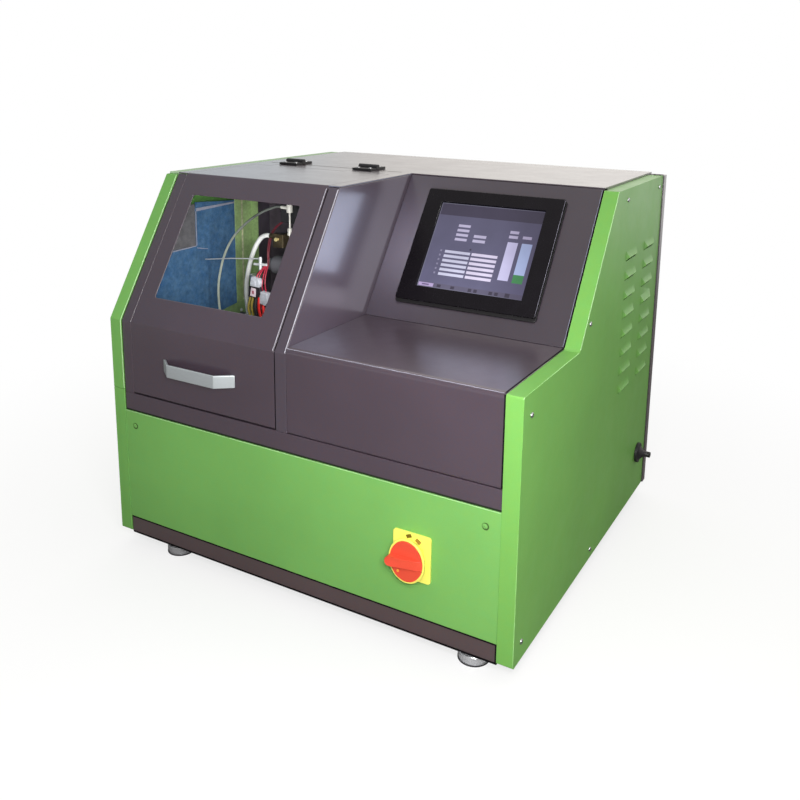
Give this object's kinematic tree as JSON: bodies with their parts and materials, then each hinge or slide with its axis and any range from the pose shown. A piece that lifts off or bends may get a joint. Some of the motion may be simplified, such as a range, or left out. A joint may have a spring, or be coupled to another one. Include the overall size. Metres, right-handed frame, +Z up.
{
  "type": "common rail injector test bench",
  "caption": "Bench-top sheet-steel tester with a hinged windowed lid over the spray chamber, a sloping display console, a rotary main switch and levelling feet.",
  "frame": {"origin": "middle of the bounding box's footprint, on the surface that the feet stand on", "axes": "+X to the console side, +Y to the back, +Z up; the lid and the display face -Y"},
  "size_m": [0.7764, 0.7066, 0.6582],
  "materials": {
    "green_paint": "satin stoved green paint on sheet steel",
    "dark_paint": "satin dark grey-violet paint with a fine grain",
    "steel": "bare machined or zinc-plated steel",
    "chrome": "bright plated levelling feet and fittings",
    "aluminium": "satin anodised",
    "brass": "machined brass",
    "iron": "dark grey casting",
    "black_gloss": "glossy black bezel",
    "black_matte": "matte black",
    "yellow": "yellow switch plate",
    "red": "red-orange switch knob and clamp knob",
    "blue_film": "blue protective film with scuffs",
    "screen": "lit liquid crystal screen behind glass",
    "clear": "clear acrylic",
    "clear_hose": "clear hose filled with fluid",
    "white_hose": "white hose"
  },
  "bodies": {
    "cabinet": {"left_side_panel_upper": "green_paint", "left_side_panel_lower": "green_paint", "right_side_panel": "green_paint", "lower_front_panel": "green_paint", "chamber_tray": "green_paint", "chamber_post": "green_paint", "rear_panel": "dark_paint", "roof_panel": "dark_paint", "front_crossbar": "dark_paint", "front_left_strip": "dark_paint", "step_cover": "dark_paint", "console_cover": "dark_paint", "display_panel": "dark_paint", "plinth_cover": "dark_paint", "chamber_bulkhead": "dark_paint", "base_plate": "steel", "injector": "steel", "pressure_pipe": "steel", "fluid_tank": "steel", "rail_riser": "chrome", "return_tee": "chrome", "drain_fitting": "aluminium", "injector_clamp": "aluminium", "pressure_pump": "aluminium", "brass_block": "brass", "common_rail": "iron", "drive_motor": "iron", "display_bezel": "black_gloss", "display_housing": "black_matte", "hinge_left_fixed_leaf": "black_matte", "hinge_right_fixed_leaf": "black_matte", "switch_body": "black_matte", "cable_gland": "black_matte", "rail_stand": "black_matte", "junction_box": "black_matte", "fluid_filter": "black_matte", "drive_inverter": "black_matte", "fan_frame": "black_matte", "switch_plate": "yellow", "injector_plug": "red", "injector_lead": "red", "chamber_liner": "blue_film", "display_screen": "screen", "spray_cup": "clear", "return_hose": "clear_hose", "supply_hose": "white_hose"},
    "lid": {"lid_shell": "dark_paint", "lid_window": "clear", "lid_handle": "aluminium", "hinge_left_lid_leaf": "black_matte", "hinge_right_lid_leaf": "black_matte"},
    "main_switch": {"switch_knob": "red"},
    "foot_front_left": {"foot_front_left": "chrome"},
    "foot_front_right": {"foot_front_right": "chrome"},
    "foot_rear_left": {"foot_rear_left": "chrome"},
    "foot_rear_right": {"foot_rear_right": "chrome"},
    "clamp_screw": {"clamp_knob": "red"},
    "motor_shaft": {"motor_shaft": "steel"},
    "pump_shaft": {"pump_shaft": "steel"},
    "fan_rotor": {"fan_rotor": "black_matte"}
  },
  "joints": [
    {"name": "lid_hinge", "type": "hinge", "parent": "cabinet", "child": "lid", "pos_m": [-0.19915, 0.0648, 0.6533], "axis": [-1, 0, 0], "range_deg": [0, 125]},
    {"name": "main_switch_turn", "type": "hinge", "parent": "cabinet", "child": "main_switch", "pos_m": [0.20285, -0.3342, 0.152], "axis": [0, 1, 0], "range_deg": [0, 90]},
    {"name": "clamp_screw_turn", "type": "hinge", "parent": "cabinet", "child": "clamp_screw", "pos_m": [-0.24615, -0.1442, 0.391], "axis": [1, 0, 0], "continuous": true},
    {"name": "motor_spin", "type": "hinge", "parent": "cabinet", "child": "motor_shaft", "pos_m": [-0.00315, 0.0098, 0.146], "axis": [1, 0, 0], "continuous": true},
    {"name": "pump_spin", "type": "hinge", "parent": "cabinet", "child": "pump_shaft", "pos_m": [-0.07315, 0.0098, 0.146], "axis": [1, 0, 0], "continuous": true},
    {"name": "fan_spin", "type": "hinge", "parent": "cabinet", "child": "fan_rotor", "pos_m": [0.17685, 0.3298, 0.38], "axis": [0, 1, 0], "continuous": true},
    {"name": "foot_front_left_turn", "type": "hinge", "parent": "cabinet", "child": "foot_front_left", "pos_m": [-0.27915, -0.2862, 0.028], "axis": [0, 0, 1], "continuous": true},
    {"name": "foot_front_right_turn", "type": "hinge", "parent": "cabinet", "child": "foot_front_right", "pos_m": [0.28785, -0.2862, 0.028], "axis": [0, 0, 1], "continuous": true},
    {"name": "foot_rear_left_turn", "type": "hinge", "parent": "cabinet", "child": "foot_rear_left", "pos_m": [-0.27915, 0.3018, 0.028], "axis": [0, 0, 1], "continuous": true},
    {"name": "foot_rear_right_turn", "type": "hinge", "parent": "cabinet", "child": "foot_rear_right", "pos_m": [0.28785, 0.3018, 0.028], "axis": [0, 0, 1], "continuous": true}
  ],
  "couplings": [
    {"joint": "pump_spin", "follows": "motor_spin", "ratio": 1}
  ]
}
